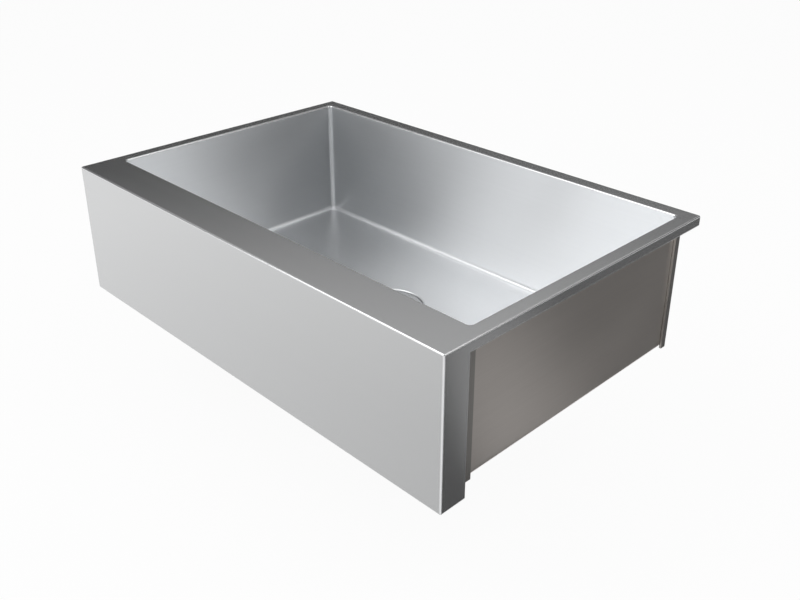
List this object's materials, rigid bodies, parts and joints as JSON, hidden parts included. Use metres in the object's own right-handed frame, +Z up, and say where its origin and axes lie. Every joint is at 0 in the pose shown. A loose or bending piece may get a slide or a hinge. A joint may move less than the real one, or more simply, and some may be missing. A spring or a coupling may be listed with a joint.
{
  "type": "farmhouse apron front sink",
  "caption": "Stainless sheet kitchen sink with a tall apron front, a deep single bowl, a folded deck with a skirt and a basket strainer that lifts out.",
  "frame": {"origin": "middle of the rim in plan, at the height of the counter that the rim's skirt rests on", "axes": "+X along the sink, to the right seen from the apron; +Y from the apron to the back; +Z up"},
  "size_m": [0.8382, 0.5588, 0.4041],
  "materials": {
    "brushed_steel": "satin brushed stainless sheet",
    "drain_steel": "polished stainless",
    "brass": "cast and machined, dull",
    "rubber": "moulded, matt",
    "fibre": "pressed fibre card",
    "damping_pad": "rubber sheet, matt",
    "polymer": "moulded, matt"
  },
  "bodies": {
    "sink": {"rim_deck": "brushed_steel", "apron_front": "brushed_steel", "bowl_floor_pan": "brushed_steel", "bowl_wall_front": "brushed_steel", "bowl_wall_back": "brushed_steel", "bowl_wall_left": "brushed_steel", "bowl_wall_right": "brushed_steel", "corner_angle_front_left": "brushed_steel", "corner_angle_front_right": "brushed_steel", "corner_angle_back_left": "brushed_steel", "corner_angle_back_right": "brushed_steel", "apron_brace_left": "brushed_steel", "apron_brace_right": "brushed_steel", "sound_pad_left": "damping_pad", "sound_pad_right": "damping_pad", "strainer_body": "drain_steel", "flange_seal": "rubber", "drain_gasket": "rubber", "friction_ring": "fibre", "drain_locknut": "brass", "tailpiece_washer": "polymer", "tailpiece": "drain_steel", "coupling_nut": "brass"},
    "basket": {"strainer_basket": "drain_steel", "basket_stem": "drain_steel", "basket_knob": "drain_steel", "stopper_disc": "rubber", "stem_nut": "brass"}
  },
  "joints": [
    {"name": "basket_lift", "type": "slide", "parent": "sink", "child": "basket", "axis": [0, 0, 1], "range_m": [0, 0.3]}
  ]
}
